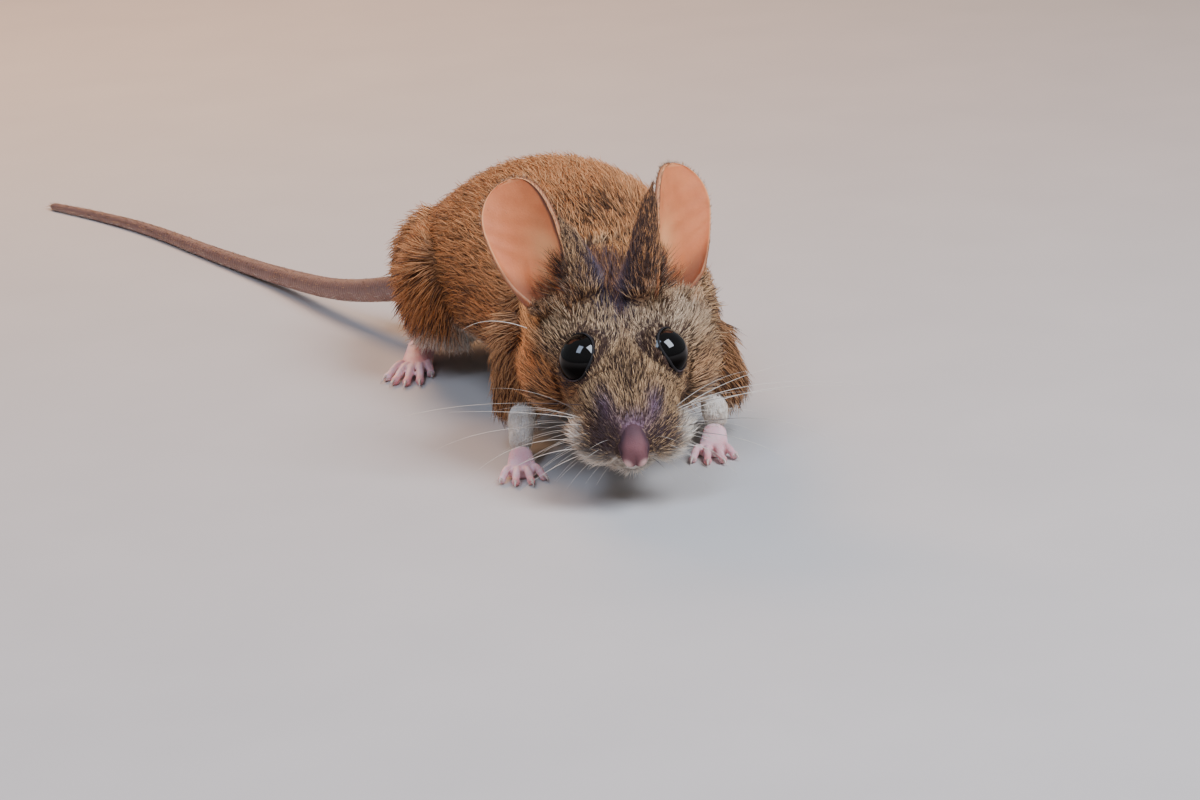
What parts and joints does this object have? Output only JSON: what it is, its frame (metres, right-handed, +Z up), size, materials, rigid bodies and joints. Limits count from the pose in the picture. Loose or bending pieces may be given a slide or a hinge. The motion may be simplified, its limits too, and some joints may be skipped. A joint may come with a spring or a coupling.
{
  "type": "field mouse",
  "caption": "Life-size field mouse model standing low on all fours, nose near the ground, large round ears up, long tail trailing on the floor.",
  "frame": {"origin": "centre of the bounding box at the floor, under the belly", "axes": "+Y runs back from the nose to the tip of the tail, +X to the mouse's left, +Z up"},
  "size_m": [0.0969, 0.1614, 0.0352],
  "materials": {
    "fur_back": "short grizzled tawny fur",
    "fur_face": "very short grizzled brown-grey fur",
    "fur_pale": "short cream-white fur",
    "ear_skin": "thin peach skin with sparse down",
    "nose_skin": "moist pink-brown skin",
    "paw_skin": "pale pink skin",
    "tail_skin": "finely ringed pinkish-brown skin",
    "eye": "glossy black"
  },
  "bodies": {
    "root": {"head": "fur_face", "jaw": "fur_pale", "nose": "nose_skin", "eye_right": "eye", "eye_left": "eye", "ear_right": "ear_skin", "ear_left": "ear_skin", "neck": "fur_back", "chest": "fur_back", "loin": "fur_back", "rump": "fur_back", "tail_root": "tail_skin", "tail_near": "tail_skin", "tail_far": "tail_skin", "tail_tip": "tail_skin", "upper_arm_right": "fur_back", "forearm_right": "fur_pale", "hand_right": "paw_skin", "upper_arm_left": "fur_back", "forearm_left": "fur_pale", "hand_left": "paw_skin", "thigh_right": "fur_back", "shank_right": "fur_back", "foot_right": "paw_skin", "thigh_left": "fur_back", "shank_left": "fur_back", "foot_left": "paw_skin"}
  },
  "joints": []
}
